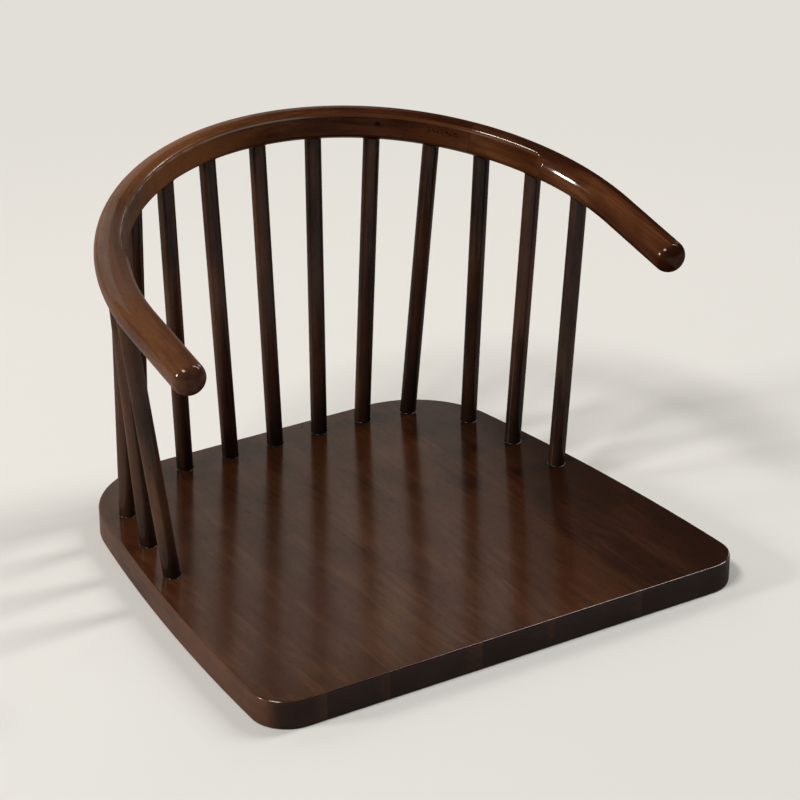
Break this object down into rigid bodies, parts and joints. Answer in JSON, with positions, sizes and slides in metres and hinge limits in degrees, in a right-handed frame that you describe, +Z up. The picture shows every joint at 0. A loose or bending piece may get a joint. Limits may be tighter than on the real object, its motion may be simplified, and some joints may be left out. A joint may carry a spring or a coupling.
{
  "type": "floor chair",
  "caption": "Legless wooden floor chair: flat board seat lying on the floor, straight round spindles and a curved bow that serves as backrest and armrests.",
  "frame": {"origin": "on the floor, on the underside of the seat, under the middle of the seat board", "axes": "+Z up; -Y towards the front, where the sitter's legs go; +X to the right as seen from the front; X = 0 is the plane of symmetry"},
  "size_m": [0.4908, 0.439, 0.3394],
  "materials": {
    "seat_wood": "dark walnut stain, semi-gloss lacquer",
    "spindle_wood": "dark walnut stain, semi-gloss lacquer",
    "bow_wood": "dark walnut stain, semi-gloss lacquer",
    "dowel_wood": "bare beech, inside the joints"
  },
  "bodies": {
    "root": {"seat_stave_1": "seat_wood", "seat_stave_2": "seat_wood", "seat_stave_3": "seat_wood", "seat_stave_4": "seat_wood", "seat_stave_5": "seat_wood", "seat_stave_6": "seat_wood", "seat_stave_7": "seat_wood", "spindle_back_1": "spindle_wood", "spindle_back_2": "spindle_wood", "spindle_back_3": "spindle_wood", "spindle_back_4": "spindle_wood", "spindle_back_5": "spindle_wood", "spindle_back_6": "spindle_wood", "spindle_back_7": "spindle_wood", "spindle_left_1": "spindle_wood", "spindle_left_2": "spindle_wood", "spindle_left_3": "spindle_wood", "spindle_right_1": "spindle_wood", "spindle_right_2": "spindle_wood", "spindle_right_3": "spindle_wood", "crest_rail": "bow_wood", "left_arm": "bow_wood", "right_arm": "bow_wood", "bow_dowels": "dowel_wood"}
  },
  "joints": []
}
